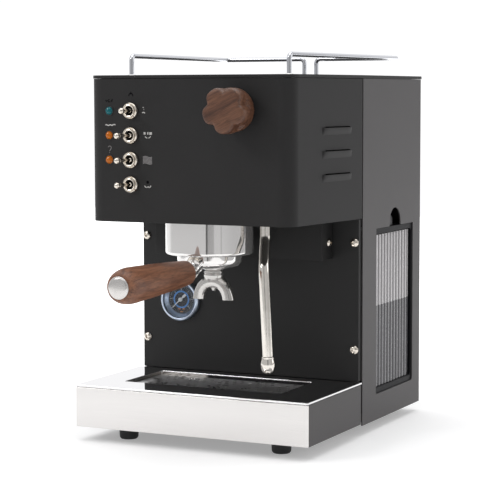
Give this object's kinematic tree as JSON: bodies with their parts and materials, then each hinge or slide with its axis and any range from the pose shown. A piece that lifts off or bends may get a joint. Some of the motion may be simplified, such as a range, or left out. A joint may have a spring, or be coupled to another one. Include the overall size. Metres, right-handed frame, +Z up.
{
  "type": "espresso machine",
  "caption": "Compact single-group espresso machine with a walnut-handled portafilter, swivelling steam wand, toggle switches, pressure gauge, drip drawer and side-loading water tank.",
  "frame": {"origin": "on the floor under the centre of the whole machine's box, from the end of the portafilter's handle to the power inlet's flange", "axes": "+X to the right seen from the front, +Y from the front to the back, +Z up"},
  "size_m": [0.2478, 0.4226, 0.3759],
  "materials": {
    "dark_grey_paint": "fine-textured powder coat, satin",
    "black_paint": "fine-textured powder coat, satin",
    "polished_steel": "brushed front, polished tray top",
    "chrome": "polished plating",
    "walnut": "oiled walnut, satin",
    "black_rubber": "matte moulded",
    "black_plastic": "moulded, matte",
    "clear_plastic": "clear, ribbed, glossy",
    "brass": "machined",
    "copper": "drawn copper tube",
    "teal_lens": "moulded lens, glossy",
    "amber_lens": "moulded lens, glossy",
    "gauge_dial": "printed face, matte",
    "gauge_needle": "painted, matte",
    "gauge_glass": "clear"
  },
  "bodies": {
    "machine": {"outer_case": "dark_grey_paint", "head_shell": "dark_grey_paint", "cup_lid": "dark_grey_paint", "chassis": "dark_grey_paint", "back_panel": "black_paint", "boiler_cover": "black_paint", "head_floor": "black_paint", "base_top": "polished_steel", "shower_screen": "polished_steel", "gauge_case": "polished_steel", "heating_element": "polished_steel", "cup_rail_left": "chrome", "cup_rail_right": "chrome", "cover_screw": "chrome", "panel_screw_upper_left": "chrome", "panel_screw_upper_right": "chrome", "panel_screw_lower_left": "chrome", "panel_screw_lower_right": "chrome", "group_bell": "chrome", "wand_fitting": "chrome", "switch_bushing_1": "chrome", "switch_bushing_2": "chrome", "switch_bushing_3": "chrome", "switch_bushing_4": "chrome", "foot_front_left": "black_rubber", "foot_front_right": "black_rubber", "foot_rear_left": "black_rubber", "foot_rear_right": "black_rubber", "group_gasket": "black_rubber", "tank_shelf": "black_plastic", "pump": "black_plastic", "power_inlet": "black_plastic", "group_ring": "brass", "boiler": "brass", "steam_valve": "brass", "boiler_feed_pipe": "copper", "power_lamp": "teal_lens", "heating_lamp": "amber_lens", "steam_lamp": "amber_lens", "gauge_dial": "gauge_dial", "gauge_glass": "gauge_glass"},
    "drip_drawer": {"drawer_front": "polished_steel", "drip_tray": "black_plastic"},
    "grille": {"drip_grille": "polished_steel"},
    "portafilter": {"portafilter": "chrome", "portafilter_handle": "walnut", "handle_cap": "polished_steel", "spout": "chrome", "filter_basket": "polished_steel"},
    "steam_wand": {"steam_wand": "chrome", "steam_tip": "chrome"},
    "steam_knob": {"steam_knob": "walnut", "valve_spindle": "polished_steel"},
    "tank": {"water_tank": "clear_plastic"},
    "gauge_needle": {"gauge_needle": "gauge_needle"},
    "switch_1": {"switch_lever_1": "chrome"},
    "switch_2": {"switch_lever_2": "chrome"},
    "switch_3": {"switch_lever_3": "chrome"},
    "switch_4": {"switch_lever_4": "chrome"}
  },
  "joints": [
    {"name": "drawer_slide", "type": "slide", "parent": "machine", "child": "drip_drawer", "axis": [0, -1, 0], "range_m": [0, 0.12]},
    {"name": "grille_lift", "type": "slide", "parent": "machine", "child": "grille", "axis": [0, 0, 1], "range_m": [0, 0.015]},
    {"name": "portafilter_lock", "type": "hinge", "parent": "machine", "child": "portafilter", "pos_m": [-0.005, -0.0338, 0.1948], "axis": [0, 0, 1], "range_deg": [-50, 0]},
    {"name": "steam_wand_swivel", "type": "hinge", "parent": "machine", "child": "steam_wand", "pos_m": [0.054, -0.0328, 0.2152], "axis": [0, 0, 1], "range_deg": [-30, 75]},
    {"name": "steam_knob_turn", "type": "hinge", "parent": "machine", "child": "steam_knob", "pos_m": [0.0535, -0.0953, 0.322], "axis": [0, -1, 0], "range_deg": [0, 270]},
    {"name": "tank_slide", "type": "slide", "parent": "machine", "child": "tank", "axis": [1, 0, 0], "range_m": [0, 0.15]},
    {"name": "needle_turn", "type": "hinge", "parent": "machine", "child": "gauge_needle", "pos_m": [-0.076, 0.0385, 0.127], "axis": [0, 1, 0], "range_deg": [0, 270]},
    {"name": "switch_1_flip", "type": "hinge", "parent": "machine", "child": "switch_1", "pos_m": [-0.0603, -0.0891, 0.3209], "axis": [0, 0, 1], "range_deg": [-14, 0]},
    {"name": "switch_2_flip", "type": "hinge", "parent": "machine", "child": "switch_2", "pos_m": [-0.0603, -0.0891, 0.29765], "axis": [0, 0, 1], "range_deg": [0, 14]},
    {"name": "switch_3_flip", "type": "hinge", "parent": "machine", "child": "switch_3", "pos_m": [-0.0603, -0.0891, 0.2744], "axis": [0, 0, 1], "range_deg": [0, 14]},
    {"name": "switch_4_flip", "type": "hinge", "parent": "machine", "child": "switch_4", "pos_m": [-0.0603, -0.0891, 0.25115], "axis": [0, 0, 1], "range_deg": [0, 14]}
  ]
}
